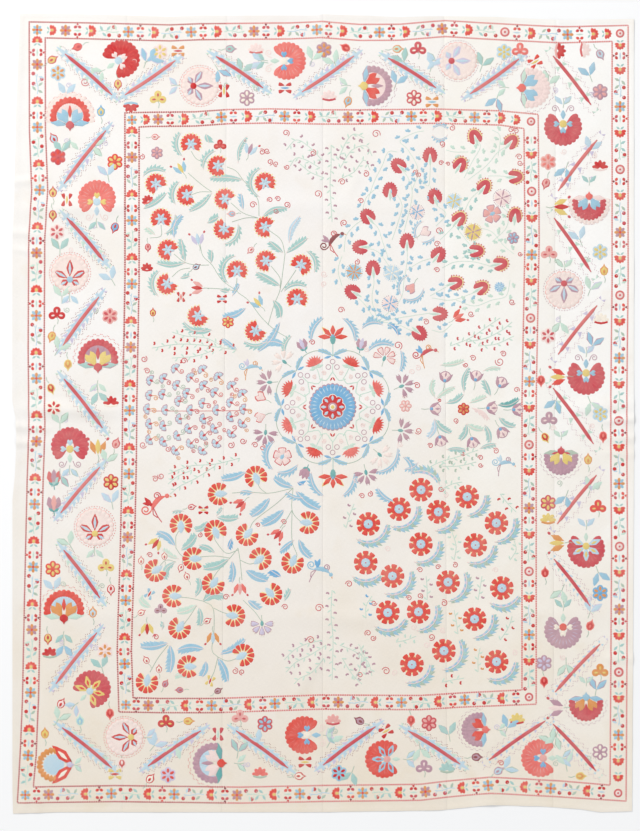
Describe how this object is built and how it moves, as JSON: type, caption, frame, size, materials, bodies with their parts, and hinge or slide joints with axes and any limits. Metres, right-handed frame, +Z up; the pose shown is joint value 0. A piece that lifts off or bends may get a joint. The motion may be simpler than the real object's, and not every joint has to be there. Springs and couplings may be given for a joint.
{
  "type": "suzani embroidered textile",
  "caption": "Large flat embroidered cloth of sewn cotton strips, with a central roundel, corner sprays, small flowers and a leaf and flower border.",
  "frame": {"origin": "centre of the cloth's outline, on the floor that it lies on", "axes": "+Z up out of the embroidered face, +Y along the cloth towards its top edge, +X across the strips to the right"},
  "size_m": [2.02, 2.6, 0.0093],
  "materials": {
    "cotton": "matt hand-woven cotton",
    "silk_red": "satin-stitched silk",
    "silk_crimson": "satin-stitched silk",
    "silk_pink": "satin-stitched silk",
    "silk_mauve": "satin-stitched silk",
    "silk_blue": "satin-stitched silk",
    "silk_green": "satin-stitched silk",
    "silk_yellow": "satin-stitched silk",
    "silk_dark": "satin-stitched silk"
  },
  "bodies": {
    "root": {"strip_1": "cotton", "strip_2": "cotton", "strip_3": "cotton", "strip_4": "cotton", "strip_5": "cotton", "strip_6": "cotton"}
  },
  "joints": []
}
